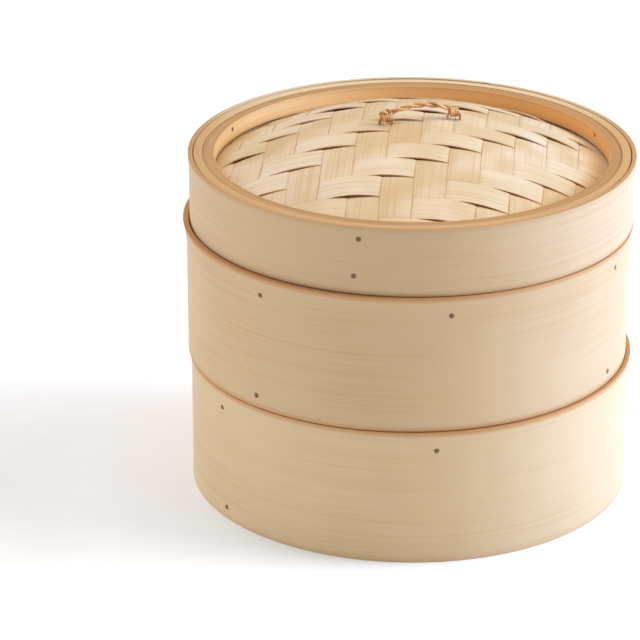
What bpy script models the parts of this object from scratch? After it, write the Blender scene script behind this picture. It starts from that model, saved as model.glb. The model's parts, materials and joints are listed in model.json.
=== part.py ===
"""Two-tier bamboo steamer basket with a domed woven lid and a rattan loop handle.

Metres, +Z up. The origin is the middle of the ring that the lower tier stands on.
Both tiers are alike: a bent outer band, an inner hoop that stands proud of the rim as a
spigot, a floor ring with two rails, and a floor of slats held between ring and hoop.
Each piece above drops over the spigot of the piece below and lifts straight off.
"""

import math

import bmesh
import bpy
from mathutils import Matrix, Vector

# Overall sizes
BODY_RADIUS = 0.100
TIER_HEIGHT = 0.0627
LID_HEIGHT = 0.0306
DOME_RISE = 0.0225

# Fits
GAP = 0.0003
SEAT_PLAY = 0.0016
UPPER_TIER_SHIFT = -0.0014

# Bent outer bands: skived ends lapped over each other
BAND_WALL = 0.0018
SKIVED_TIP = 0.0004
FLARE_HEIGHT = 0.0110
LOWER_FLARE = 0.0008
UPPER_FLARE = 0.0016
LID_FLARE = 0.0005
FLARE_CURVE = 1.5
LOWER_LAP_TURN = 100.0
UPPER_LAP_TURN = 55.0
LID_LAP_TURN = 70.0

# Hoops and rings
HOOP_WALL = 0.0040
SPIGOT_RISE = 0.0035
SPIGOT_CHAMFER = 0.0008
SHOULDER_DROP = 0.0010
RING_WALL = 0.0050
FLOOR_HEIGHT = 0.0188

# Floor
SLAT_COUNT = 10
SLAT_SPACE = 0.0038
FLOOR_EDGE = 0.0095
SLAT_THICKNESS = 0.0025
SLAT_EDGE = 0.0005
RAIL_WIDTH = 0.0120
RAIL_THICKNESS = 0.0030
RAIL_OFFSET = 0.0400

# Lid
MIDDLE_WALL = 0.0037
MIDDLE_SINK = 0.0004
RETAINER_WALL = 0.0051
RETAINER_SINK = 0.0008
WEAVE_SINK = 0.0087
WEAVE_THICKNESS = 0.0016
LINING_THICKNESS = 0.0010
SUPPORT_WALL = 0.0042

# Pins
PIN_RADIUS = 0.0009
PIN_PROUD = 0.00025
PIN_BELOW_RIM = 0.0088
PIN_ABOVE_BASE = 0.0056
LID_PIN_BELOW_RIM = 0.0054
LID_PIN_ABOVE_BASE = 0.0081
INNER_PIN_BELOW_RIM = 0.0034
# Turns in degrees about +Z, 0 at +X
LOWER_TOP_PINS = (-146.0, -83.0, 35.0, 92.0)
LOWER_BASE_PINS = (-144.5,)
UPPER_TOP_PINS = (-129.3, -79.0, -24.0, 70.0)
UPPER_BASE_PINS = (-130.9, -26.5)
LID_TOP_PINS = (-102.8, 39.6)
LID_BASE_PINS = (-104.0, 60.0)
LID_INNER_PINS = (158.0, 20.0)
DRILL_RUN = 0.0020

# Handle
HANDLE_HALF_SPAN = 0.0158
HANDLE_CENTRE = (0.0035, 0.0005)
HANDLE_TURN = 16.0
LOOP_RADIUS = 0.0010
LOOP_RISE = 0.0034
LOOP_OVERHANG = 0.0014
LOOP_CLEARANCE = 0.00035
TIE_RADIUS = 0.0006
TIE_HALF_WIDTH = 0.0030
TIE_BEND = 0.0010
TIE_TAIL = 0.0020
EYE_BORE = 0.00085
EYE_RADIUS = 0.0019
EYE_HALF_LENGTH = 0.0017

# Facets
SEGMENTS = 48
LAP_STEPS = 5
DOME_STEPS = 6
PIN_SIDES = 10
LOOP_SIDES = 10
LOOP_POINTS = 13
CREASE_ANGLE = 35.0

# Worked out from the sizes above
BAND_INNER = BODY_RADIUS - BAND_WALL
HOOP_OUTER = BAND_INNER - GAP
HOOP_INNER = HOOP_OUTER - HOOP_WALL
SPIGOT_OUTER = BAND_INNER - SEAT_PLAY - GAP
TIER_PITCH = TIER_HEIGHT + GAP
RECESS = SPIGOT_RISE + GAP
LID_BASE = 2.0 * TIER_PITCH
FLOOR_REACH = HOOP_OUTER - GAP
SLAT_PITCH = (2.0 * (FLOOR_REACH - FLOOR_EDGE) + SLAT_SPACE) / SLAT_COUNT
SLAT_WIDTH = SLAT_PITCH - SLAT_SPACE
MIDDLE_INNER = HOOP_OUTER - MIDDLE_WALL
RETAINER_OUTER = MIDDLE_INNER - GAP
RETAINER_INNER = RETAINER_OUTER - RETAINER_WALL
WEAVE_EDGE = LID_HEIGHT - WEAVE_SINK
DOME_RADIUS = RETAINER_INNER - GAP

# Colours, linear
PALE_BAMBOO = (0.66, 0.49, 0.31)
HOOP_BAMBOO = (0.58, 0.35, 0.15)
SLAT_BAMBOO = (0.70, 0.52, 0.31)
WOVEN_BAMBOO = (0.78, 0.62, 0.44)
LINING_BAMBOO = (0.72, 0.56, 0.38)
RATTAN = (0.45, 0.23, 0.09)
PIN_BAMBOO = (0.24, 0.13, 0.07)
BAND_ROUGHNESS = 0.5
WOOD_ROUGHNESS = 0.6
FIBRE_ROUGHNESS = 0.55
PIN_ROUGHNESS = 0.7


def make_material(name, colour, roughness):
    """A plain Principled finish, made once and shared."""
    material = bpy.data.materials.get(name)
    if material is None:
        material = bpy.data.materials.new(name)
        material.use_nodes = True
        shader = material.node_tree.nodes["Principled BSDF"]
        shader.inputs["Base Color"].default_value = (*colour, 1.0)
        shader.inputs["Roughness"].default_value = roughness
        shader.inputs["Metallic"].default_value = 0.0
    return material


def add_empty(name, place, parent=None, turn=0.0):
    """A frame that a whole group of pieces hangs on."""
    empty = bpy.data.objects.new(name, None)
    empty.location = place
    empty.rotation_euler = (0.0, 0.0, turn)
    empty.parent = parent
    bpy.context.collection.objects.link(empty)
    return empty


def add_piece(name, bm, parent, material):
    """Turn a bmesh into a named object on its parent frame."""
    bmesh.ops.recalc_face_normals(bm, faces=bm.faces)
    mesh = bpy.data.meshes.new(name)
    bm.to_mesh(mesh)
    bm.free()
    mesh.materials.append(material)
    mesh.shade_smooth()
    mesh.set_sharp_from_angle(angle=math.radians(CREASE_ANGLE))
    piece = bpy.data.objects.new(name, mesh)
    piece.parent = parent
    bpy.context.collection.objects.link(piece)
    return piece


def guide(piece):
    """Keep a shape as a tool only: it joins or cuts others and isn't a piece."""
    piece.display_type = "WIRE"
    piece.hide_render = True
    return piece


def cut(piece, bm, name):
    """Take the shape in bm out of a piece."""
    cutter = guide(add_piece(name, bm, piece.parent, piece.data.materials[0]))
    combine(piece, cutter, "DIFFERENCE")


def combine(piece, other, operation):
    """Join or cut with an exact Boolean."""
    modifier = piece.modifiers.new(other.name, "BOOLEAN")
    modifier.operation = operation
    modifier.solver = "EXACT"
    modifier.object = other


def turned(profile):
    """A full turn of a closed outline of (radius, height) points."""
    bm = bmesh.new()
    verts = [bm.verts.new((radius, 0.0, height)) for radius, height in profile]
    edges = [bm.edges.new((verts[i - 1], verts[i])) for i in range(len(verts))]
    bmesh.ops.spin(
        bm,
        geom=verts + edges,
        axis=(0.0, 0.0, 1.0),
        cent=(0.0, 0.0, 0.0),
        angle=2.0 * math.pi,
        steps=SEGMENTS,
        use_merge=True,
    )
    bmesh.ops.remove_doubles(bm, verts=bm.verts, dist=1e-6)
    return bm


def flare_at(height, top, flare):
    """How far a band's wall leans out at a height below its rim."""
    rise = max(0.0, height - (top - FLARE_HEIGHT)) / FLARE_HEIGHT
    return flare * rise**FLARE_CURVE


def band_skin(height, top, flare):
    """Radius of a band's outer face at a height."""
    return BODY_RADIUS + flare_at(height, top, flare)


def skived_wall(station):
    """Inner and outer offset of the strip's wall at a station along its length."""
    slope = (BAND_WALL - GAP - 2.0 * SKIVED_TIP) / LAP_STEPS
    if station <= LAP_STEPS:
        return 0.0, SKIVED_TIP + slope * station
    if station >= SEGMENTS:
        return SKIVED_TIP + GAP + slope * (station - SEGMENTS), BAND_WALL
    return 0.0, BAND_WALL


def bent_band(height, flare, lap_turn):
    """A strip bent round once, with its skived ends lying over each other."""
    middle = height - FLARE_HEIGHT * 0.5
    levels = (0.0, height - FLARE_HEIGHT, middle, height)
    outline = [(0, z) for z in levels] + [(1, z) for z in reversed(levels)]
    bm = bmesh.new()
    verts = [bm.verts.new((BAND_INNER + side * BAND_WALL, 0.0, z)) for side, z in outline]
    face = bm.faces.new(verts)
    bmesh.ops.spin(
        bm,
        geom=[face, *face.edges, *face.verts],
        axis=(0.0, 0.0, 1.0),
        cent=(0.0, 0.0, 0.0),
        angle=2.0 * math.pi * (SEGMENTS + LAP_STEPS) / SEGMENTS,
        steps=SEGMENTS + LAP_STEPS,
    )
    for index, vert in enumerate(bm.verts):
        inner, outer = skived_wall(index // len(outline))
        on_outside = math.hypot(vert.co.x, vert.co.y) > BAND_INNER + 0.5 * BAND_WALL
        radius = BAND_INNER + (outer if on_outside else inner)
        radius += flare_at(vert.co.z, height, flare)
        flat = Vector((vert.co.x, vert.co.y)).normalized() * radius
        vert.co.x = flat.x
        vert.co.y = flat.y
    bmesh.ops.rotate(bm, verts=bm.verts, matrix=Matrix.Rotation(math.radians(lap_turn), 3, "Z"))
    return bm


def radial_rods(places, radius, inner, outer):
    """Rods on radial lines: places are (turn in degrees, height)."""
    bm = bmesh.new()
    for turn, height in places:
        around = Matrix.Rotation(math.radians(turn), 4, "Z")
        reach = Matrix.Translation((0.5 * (inner + outer), 0.0, height))
        lie = Matrix.Rotation(math.radians(90.0), 4, "Y")
        bmesh.ops.create_cone(
            bm,
            cap_ends=True,
            cap_tris=False,
            segments=PIN_SIDES,
            radius1=radius,
            radius2=radius,
            depth=outer - inner,
            matrix=around @ reach @ lie,
        )
    return bm


def pin_holes(piece, places, inner, outer):
    """Drill a piece for the pins that pass through it."""
    cut(piece, radial_rods(places, PIN_RADIUS + GAP, inner, outer), piece.name + "_holes")


def add_pins(prefix, places, inner, outer, parent):
    """One short bamboo pin for each place, its head just proud of the face at outer."""
    material = make_material("pin_bamboo", PIN_BAMBOO, PIN_ROUGHNESS)
    for number, place in enumerate(places, 1):
        rod = radial_rods([place], PIN_RADIUS, inner, outer + PIN_PROUD)
        add_piece(f"{prefix}_{number:02d}", rod, parent, material)


def bar(low, high, edge):
    """A block between two corners with its edges eased."""
    bm = bmesh.new()
    size = [high[i] - low[i] for i in range(3)]
    middle = [0.5 * (high[i] + low[i]) for i in range(3)]
    place = Matrix.Translation(middle) @ Matrix.Diagonal((*size, 1.0))
    bmesh.ops.create_cube(bm, size=1.0, matrix=place)
    if edge > 0.0:
        bmesh.ops.bevel(
            bm,
            geom=bm.edges[:],
            offset=edge,
            offset_type="OFFSET",
            affect="EDGES",
            segments=1,
            profile=0.5,
            material=-1,
        )
    return bm


def round_ended(width_low, width_high, base, thickness, along):
    """A flat strip that reaches across the floor, its ends following the hoop."""
    middle = 0.5 * (width_low + width_high)
    across = (width_low, middle, width_high)
    ends = [(x, math.sqrt(FLOOR_REACH**2 - x**2)) for x in across]
    outline = ends + [(x, -y) for x, y in reversed(ends)]
    if along == "X":
        outline = [(y, x) for x, y in outline]
    bm = bmesh.new()
    face = bm.faces.new([bm.verts.new((x, y, base)) for x, y in outline])
    grown = bmesh.ops.extrude_face_region(bm, geom=[face])
    top = [item for item in grown["geom"] if isinstance(item, bmesh.types.BMVert)]
    bmesh.ops.translate(bm, verts=top, vec=(0.0, 0.0, thickness))
    bmesh.ops.recalc_face_normals(bm, faces=bm.faces)
    long_edges = [
        edge
        for edge in bm.edges
        if abs(edge.verts[0].co.z - edge.verts[1].co.z) < 1e-7
    ]
    bmesh.ops.bevel(
        bm,
        geom=long_edges,
        offset=SLAT_EDGE,
        offset_type="OFFSET",
        affect="EDGES",
        segments=1,
        profile=0.5,
        material=-1,
    )
    return bm


def add_floor(prefix, parent):
    """Floor ring, two rails let into it, and the slats that lie on both."""
    hoop_bamboo = make_material("hoop_bamboo", HOOP_BAMBOO, WOOD_ROUGHNESS)
    slat_bamboo = make_material("slat_bamboo", SLAT_BAMBOO, WOOD_ROUGHNESS)
    ring_top = FLOOR_HEIGHT - GAP
    ring_inner = HOOP_OUTER - RING_WALL
    profile = [(ring_inner, RECESS), (HOOP_OUTER, RECESS)]
    profile += [(HOOP_OUTER, ring_top), (ring_inner, ring_top)]
    ring = add_piece(prefix + "_floor_ring", turned(profile), parent, hoop_bamboo)
    rail_base = ring_top - RAIL_THICKNESS
    half = 0.5 * RAIL_WIDTH
    for word, side in (("front", -1.0), ("back", 1.0)):
        middle = side * RAIL_OFFSET
        rail = round_ended(middle - half, middle + half, rail_base, RAIL_THICKNESS, "X")
        add_piece(f"{prefix}_rail_{word}", rail, parent, slat_bamboo)
        low = (-BODY_RADIUS, middle - half - GAP, rail_base - GAP)
        high = (BODY_RADIUS, middle + half + GAP, FLOOR_HEIGHT)
        cut(ring, bar(low, high, 0.0), f"{prefix}_rail_notch_{word}")
    for number in range(SLAT_COUNT):
        middle = (number - 0.5 * (SLAT_COUNT - 1)) * SLAT_PITCH
        low = middle - 0.5 * SLAT_WIDTH
        slat = round_ended(low, low + SLAT_WIDTH, FLOOR_HEIGHT, SLAT_THICKNESS, "Y")
        add_piece(f"{prefix}_slat_{number + 1:02d}", slat, parent, slat_bamboo)
    return ring


def add_tier(prefix, parent, flare, lap_turn, top_pins, base_pins):
    """One whole tier, standing on z = 0 of its parent frame."""
    pale_bamboo = make_material("band_bamboo", PALE_BAMBOO, BAND_ROUGHNESS)
    hoop_bamboo = make_material("hoop_bamboo", HOOP_BAMBOO, WOOD_ROUGHNESS)
    strip = bent_band(TIER_HEIGHT, flare, lap_turn)
    band = add_piece(prefix + "_outer_band", strip, parent, pale_bamboo)
    hoop_base = FLOOR_HEIGHT + SLAT_THICKNESS + GAP
    hoop_top = TIER_HEIGHT + SPIGOT_RISE
    shoulder = TIER_HEIGHT - SHOULDER_DROP
    profile = [
        (HOOP_INNER, hoop_base),
        (HOOP_OUTER, hoop_base),
        (HOOP_OUTER, shoulder),
        (SPIGOT_OUTER, shoulder),
        (SPIGOT_OUTER, hoop_top - SPIGOT_CHAMFER),
        (SPIGOT_OUTER - SPIGOT_CHAMFER, hoop_top),
        (HOOP_INNER, hoop_top),
    ]
    hoop = add_piece(prefix + "_inner_hoop", turned(profile), parent, hoop_bamboo)
    ring = add_floor(prefix, parent)
    top_places = [(turn, TIER_HEIGHT - PIN_BELOW_RIM) for turn in top_pins]
    base_places = [(turn, PIN_ABOVE_BASE) for turn in base_pins]
    drill = (HOOP_INNER - DRILL_RUN, BODY_RADIUS + flare + DRILL_RUN)
    pin_holes(band, top_places + base_places, *drill)
    pin_holes(hoop, top_places, *drill)
    pin_holes(ring, base_places, drill[0] - RING_WALL, drill[1])
    top_end = band_skin(TIER_HEIGHT - PIN_BELOW_RIM, TIER_HEIGHT, flare)
    base_end = band_skin(PIN_ABOVE_BASE, TIER_HEIGHT, flare)
    add_pins(prefix + "_rim_pin", top_places, HOOP_INNER, top_end, parent)
    add_pins(prefix + "_base_pin", base_places, HOOP_OUTER - RING_WALL, base_end, parent)


def dome_height(radius):
    """Outer face of the woven dome above the lid's lower edge."""
    return WEAVE_EDGE + DOME_RISE * (1.0 - (radius / DOME_RADIUS) ** 2)


def dome_shell(sink, thickness):
    """A domed sheet with a flat rim that the hoops clamp."""
    radii = [DOME_RADIUS * step / DOME_STEPS for step in range(DOME_STEPS + 1)]
    upper = [(radius, dome_height(radius) - sink) for radius in radii]
    upper.append((RETAINER_OUTER, dome_height(DOME_RADIUS) - sink))
    lower = [(radius, height - thickness) for radius, height in reversed(upper)]
    return turned(upper + lower)


def add_lid(parent):
    """Lid: three hoops in one another, a support ring and the clamped dome."""
    pale_bamboo = make_material("band_bamboo", PALE_BAMBOO, BAND_ROUGHNESS)
    hoop_bamboo = make_material("hoop_bamboo", HOOP_BAMBOO, WOOD_ROUGHNESS)
    woven_bamboo = make_material("woven_bamboo", WOVEN_BAMBOO, FIBRE_ROUGHNESS)
    lining_bamboo = make_material("lining_bamboo", LINING_BAMBOO, WOOD_ROUGHNESS)
    strip = bent_band(LID_HEIGHT, LID_FLARE, LID_LAP_TURN)
    band = add_piece("lid_outer_band", strip, parent, pale_bamboo)
    middle_top = LID_HEIGHT - MIDDLE_SINK
    profile = [(MIDDLE_INNER, RECESS), (HOOP_OUTER, RECESS)]
    profile += [(HOOP_OUTER, middle_top), (MIDDLE_INNER, middle_top)]
    middle = add_piece("lid_middle_hoop", turned(profile), parent, hoop_bamboo)
    retainer_base = WEAVE_EDGE + GAP
    retainer_top = LID_HEIGHT - RETAINER_SINK
    profile = [(RETAINER_INNER, retainer_base), (RETAINER_OUTER, retainer_base)]
    profile += [(RETAINER_OUTER, retainer_top), (RETAINER_INNER, retainer_top)]
    retainer = add_piece("lid_retaining_hoop", turned(profile), parent, hoop_bamboo)
    woven = add_piece("lid_woven_top", dome_shell(0.0, WEAVE_THICKNESS), parent, woven_bamboo)
    lining_sink = WEAVE_THICKNESS + GAP
    lining_bm = dome_shell(lining_sink, LINING_THICKNESS)
    lining = add_piece("lid_lining", lining_bm, parent, lining_bamboo)
    support_top = WEAVE_EDGE - lining_sink - LINING_THICKNESS - GAP
    support_inner = RETAINER_OUTER - SUPPORT_WALL
    profile = [(support_inner, RECESS), (RETAINER_OUTER, RECESS)]
    profile += [(RETAINER_OUTER, support_top), (support_inner, support_top)]
    add_piece("lid_support_ring", turned(profile), parent, hoop_bamboo)
    top_places = [(turn, LID_HEIGHT - LID_PIN_BELOW_RIM) for turn in LID_TOP_PINS]
    base_places = [(turn, LID_PIN_ABOVE_BASE) for turn in LID_BASE_PINS]
    inner_places = [(turn, LID_HEIGHT - INNER_PIN_BELOW_RIM) for turn in LID_INNER_PINS]
    inner_end = MIDDLE_INNER + 0.5 * MIDDLE_WALL
    outer_places = top_places + base_places
    drill = (MIDDLE_INNER - DRILL_RUN, BODY_RADIUS + LID_FLARE + DRILL_RUN)
    pin_holes(band, outer_places, *drill)
    pin_holes(middle, outer_places, *drill)
    blind = radial_rods(inner_places, PIN_RADIUS + GAP, RETAINER_INNER, inner_end + GAP)
    cut(middle, blind, "lid_blind_holes")
    pin_holes(retainer, inner_places, RETAINER_INNER - DRILL_RUN, RETAINER_OUTER + DRILL_RUN)
    top_end = band_skin(LID_HEIGHT - LID_PIN_BELOW_RIM, LID_HEIGHT, LID_FLARE)
    base_end = band_skin(LID_PIN_ABOVE_BASE, LID_HEIGHT, LID_FLARE)
    add_pins("lid_rim_pin", top_places, MIDDLE_INNER, top_end, parent)
    add_pins("lid_base_pin", base_places, MIDDLE_INNER, base_end, parent)
    inner_head = RETAINER_INNER - PIN_PROUD
    add_pins("lid_inner_pin", inner_places, inner_head, inner_end - PIN_PROUD, parent)
    return woven, lining


def hinge_height():
    """Hinge axis above the lid's lower edge: the eyes just clear the dome."""
    nearest = HANDLE_HALF_SPAN - EYE_HALF_LENGTH - math.hypot(*HANDLE_CENTRE)
    return dome_height(nearest) + EYE_RADIUS + GAP


def tube(name, points, radius):
    """A round rod along a line of points, as a mesh with closed ends."""
    curve = bpy.data.curves.new(name, "CURVE")
    curve.dimensions = "3D"
    curve.bevel_depth = radius
    curve.bevel_resolution = (LOOP_SIDES - 4) // 2
    curve.use_fill_caps = True
    spline = curve.splines.new("POLY")
    spline.points.add(len(points) - 1)
    for point, place in zip(spline.points, points):
        point.co = (*place, 1.0)
    rod = bpy.data.objects.new(name + "_path", curve)
    bpy.context.collection.objects.link(rod)
    bpy.context.view_layer.update()
    evaluated = rod.evaluated_get(bpy.context.evaluated_depsgraph_get())
    mesh = evaluated.to_mesh()
    bm = bmesh.new()
    bm.from_mesh(mesh)
    evaluated.to_mesh_clear()
    bpy.data.objects.remove(rod)
    bpy.data.curves.remove(curve)
    bmesh.ops.remove_doubles(bm, verts=bm.verts, dist=1e-6)
    return bm


def eye(middle):
    """The turn of rattan at a foot of the loop, bored along the hinge axis."""
    lie = Matrix.Rotation(math.radians(90.0), 4, "Y")
    profile = [(EYE_BORE, -EYE_HALF_LENGTH), (EYE_RADIUS, -EYE_HALF_LENGTH)]
    profile += [(EYE_RADIUS, EYE_HALF_LENGTH), (EYE_BORE, EYE_HALF_LENGTH)]
    bm = bmesh.new()
    verts = [bm.verts.new((radius, 0.0, height)) for radius, height in profile]
    edges = [bm.edges.new((verts[i - 1], verts[i])) for i in range(len(verts))]
    bmesh.ops.spin(
        bm,
        geom=verts + edges,
        axis=(0.0, 0.0, 1.0),
        cent=(0.0, 0.0, 0.0),
        angle=2.0 * math.pi,
        steps=2 * LOOP_SIDES,
        use_merge=True,
    )
    bmesh.ops.transform(bm, matrix=Matrix.Translation((middle, 0.0, 0.0)) @ lie, verts=bm.verts)
    return bm


def loop_path():
    """A shallow bow from foot to foot, lying just over the ties."""
    end = HANDLE_HALF_SPAN + LOOP_OVERHANG
    low = TIE_RADIUS + LOOP_CLEARANCE + LOOP_RADIUS
    points = []
    for number in range(LOOP_POINTS):
        share = 2.0 * number / (LOOP_POINTS - 1) - 1.0
        points.append((share * end, 0.0, low + LOOP_RISE * (1.0 - share**2)))
    return points


def tie_path(depth):
    """A staple: up one leg, over through the eye and down the other leg."""
    quarter = [math.radians(angle) for angle in (0.0, 30.0, 60.0, 90.0)]
    inset = TIE_HALF_WIDTH - TIE_BEND
    right = [(inset + TIE_BEND * math.cos(a), TIE_BEND * (math.sin(a) - 1.0)) for a in quarter]
    right = [(TIE_HALF_WIDTH, -depth), *right]
    left = [(-x, z) for x, z in reversed(right)]
    return [(x, 0.0, z) for x, z in right + left]


def tie_hole(spot, depth):
    """A hole through both sheets of the dome for one leg of a tie."""
    bm = bmesh.new()
    bmesh.ops.create_cone(
        bm,
        cap_ends=True,
        cap_tris=False,
        segments=LOOP_SIDES,
        radius1=TIE_RADIUS + GAP,
        radius2=TIE_RADIUS + GAP,
        depth=2.0 * depth,
        matrix=Matrix.Translation((spot, 0.0, -depth)),
    )
    return bm


def add_foot(word, foot, hinge, loop, sheets):
    """One foot of the loop: its eye, the tie through the eye, and the tie's holes."""
    rattan = make_material("rattan", RATTAN, FIBRE_ROUGHNESS)
    ring = guide(add_piece(f"handle_eye_{word}", eye(foot), hinge, rattan))
    combine(loop, ring, "UNION")
    turn = Matrix.Rotation(math.radians(HANDLE_TURN), 2)
    centre = Vector(HANDLE_CENTRE) + turn @ Vector((foot, 0.0))
    through = WEAVE_THICKNESS + GAP + LINING_THICKNESS + TIE_TAIL
    depth = hinge_height() - dome_height(centre.length) + through
    staple = tube(f"tie_{word}", tie_path(depth), TIE_RADIUS)
    bmesh.ops.translate(staple, verts=staple.verts, vec=(foot, 0.0, 0.0))
    add_piece(f"handle_tie_{word}", staple, hinge, rattan)
    for number, leg in enumerate((-TIE_HALF_WIDTH, TIE_HALF_WIDTH), 1):
        for sheet in sheets:
            name = f"{sheet.name}_{word}_hole_{number}"
            hole = add_piece(name, tie_hole(foot + leg, depth), hinge, rattan)
            combine(sheet, guide(hole), "DIFFERENCE")


def add_handle(lid, woven, lining):
    """Rattan loop on a hinge line, and the two ties that hold its eyes."""
    rattan = make_material("rattan", RATTAN, FIBRE_ROUGHNESS)
    place = (*HANDLE_CENTRE, hinge_height())
    hinge = add_empty("handle_hinge", place, lid, math.radians(HANDLE_TURN))
    loop = add_piece("handle_loop", tube("loop", loop_path(), LOOP_RADIUS), hinge, rattan)
    add_foot("left", -HANDLE_HALF_SPAN, hinge, loop, (woven, lining))
    add_foot("right", HANDLE_HALF_SPAN, hinge, loop, (woven, lining))


def build():
    """The whole steamer."""
    for old in list(bpy.data.objects):
        bpy.data.objects.remove(old)
    lower = add_empty("lower_tier_frame", (0.0, 0.0, 0.0))
    upper = add_empty("upper_tier_frame", (UPPER_TIER_SHIFT, 0.0, TIER_PITCH))
    lid = add_empty("lid_frame", (0.0, 0.0, LID_BASE))
    add_tier("lower", lower, LOWER_FLARE, LOWER_LAP_TURN, LOWER_TOP_PINS, LOWER_BASE_PINS)
    add_tier("upper", upper, UPPER_FLARE, UPPER_LAP_TURN, UPPER_TOP_PINS, UPPER_BASE_PINS)
    woven, lining = add_lid(lid)
    add_handle(lid, woven, lining)


build()
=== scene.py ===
# %% [markdown]
# # A two-tier bamboo steamer
#
# This lesson dresses a finished part. The part already fixes every size and every joint, and
# here each of its plain solids is replaced by a piece that looks like bent, split, woven or
# twisted bamboo. The real object is made of thin strips: three wide bands bent round and lapped,
# hoops inside them, slats across the floors, a lid woven from wide shavings, and a loop of rattan.

# %% Load the part
import json
import math
import random

import bmesh
import bpy
from mathutils import Matrix, Vector


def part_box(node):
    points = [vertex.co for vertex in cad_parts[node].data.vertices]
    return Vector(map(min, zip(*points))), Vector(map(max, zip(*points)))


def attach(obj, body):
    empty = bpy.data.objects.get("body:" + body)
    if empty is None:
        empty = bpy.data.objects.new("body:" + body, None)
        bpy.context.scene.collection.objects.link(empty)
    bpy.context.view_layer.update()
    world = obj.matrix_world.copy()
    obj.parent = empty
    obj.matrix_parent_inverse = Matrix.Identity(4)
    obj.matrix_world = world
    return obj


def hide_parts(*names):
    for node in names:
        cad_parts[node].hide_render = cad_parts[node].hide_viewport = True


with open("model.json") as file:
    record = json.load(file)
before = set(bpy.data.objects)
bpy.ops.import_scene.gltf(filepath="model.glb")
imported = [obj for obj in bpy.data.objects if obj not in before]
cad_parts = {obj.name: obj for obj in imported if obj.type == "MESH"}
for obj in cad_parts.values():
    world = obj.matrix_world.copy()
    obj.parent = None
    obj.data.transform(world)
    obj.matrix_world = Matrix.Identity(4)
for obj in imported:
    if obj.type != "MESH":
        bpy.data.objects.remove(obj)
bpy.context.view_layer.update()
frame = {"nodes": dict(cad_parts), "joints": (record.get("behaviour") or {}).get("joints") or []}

# %% [markdown]
# ## Measuring the rings
#
# Nearly everything is a ring, so the first helper reads a ring back from the part: the point that
# it is centred on, its inner and outer radius, and its lowest and highest level. The new pieces
# are drawn from these, so they fit wherever the part says.

# %% Ring measurements
MM = 0.001


def ring_of(node):
    """Centre, inner radius, outer radius, low and high level of a round node."""
    low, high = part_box(node)
    centre = Vector((0.5 * (low.x + high.x), 0.5 * (low.y + high.y)))
    radii = [(vert.co.xy - centre).length for vert in frame["nodes"][node].data.vertices]
    return centre, min(radii), max(radii), low.z, high.z


tiers = {}
for tier in ("lower", "upper"):
    tiers[tier] = ring_of(tier + "_inner_hoop")
    print(tier, "hoop", [round(value / MM, 2) for value in tiers[tier][1:]])
lid_hoop = ring_of("lid_middle_hoop")
print("lid hoop", [round(value / MM, 2) for value in lid_hoop[1:]])

# %% [markdown]
# ## Writing shader maths as expressions
#
# A bamboo finish is a sum of small effects: long streaks, fine fibres, slow patches of colour,
# darker edges. Written node by node this is long, so a small class wraps a socket and lets plain
# arithmetic add the Math nodes. One method, `make`, adds any other node. The sky is drawn with the
# same class later, so what belongs to a material only sits in a class of its own.

# %% A small shader language


NOISE_ROUGHNESS = 0.55


class Link:
    """A node's output that plain arithmetic works on."""

    def __init__(self, graph, socket):
        self.graph = graph
        self.socket = socket

    def math(self, operation, first, second):
        return self.graph.make("ShaderNodeMath", {"operation": operation}, {0: first, 1: second})

    def __add__(self, other):
        return self.math("ADD", self, other)

    def __radd__(self, other):
        return self.math("ADD", other, self)

    def __sub__(self, other):
        return self.math("SUBTRACT", self, other)

    def __rsub__(self, other):
        return self.math("SUBTRACT", other, self)

    def __mul__(self, other):
        return self.math("MULTIPLY", self, other)

    def __rmul__(self, other):
        return self.math("MULTIPLY", other, self)

    def __pow__(self, other):
        return self.math("POWER", self, other)


class Graph:
    """A node tree under construction."""

    def __init__(self, tree):
        self.tree = tree

    def make(self, kind, settings, inputs, output=0):
        """Add a node: its settings first, then the values or links of its sockets."""
        node = self.tree.nodes.new(kind)
        for name, value in settings.items():
            if name == "stops":
                self.set_stops(node.color_ramp, value)
            else:
                setattr(node, name, value)
        for name, value in inputs.items():
            self.feed(node.inputs[name], value)
        return Link(self, node.outputs[output])

    def set_stops(self, ramp, stops):
        """Give a colour ramp its stops, from (place, colour) pairs."""
        while len(ramp.elements) < len(stops):
            ramp.elements.new(0.5)
        for element, (place, colour) in zip(ramp.elements, stops):
            element.position = place
            element.color = (*colour, 1.0)

    def feed(self, socket, value):
        """Link an output to a socket, or set the socket's own value."""
        if isinstance(value, Link):
            self.tree.links.new(value.socket, socket)
        elif hasattr(value, "__len__") and len(value) == 3 and socket.type == "RGBA":
            socket.default_value = (*value, 1.0)
        else:
            socket.default_value = value

    def vector(self, operation, first, second, output=0):
        """Arithmetic on two vectors."""
        return self.make(
            "ShaderNodeVectorMath", {"operation": operation}, {0: first, 1: second}, output
        )


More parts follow.
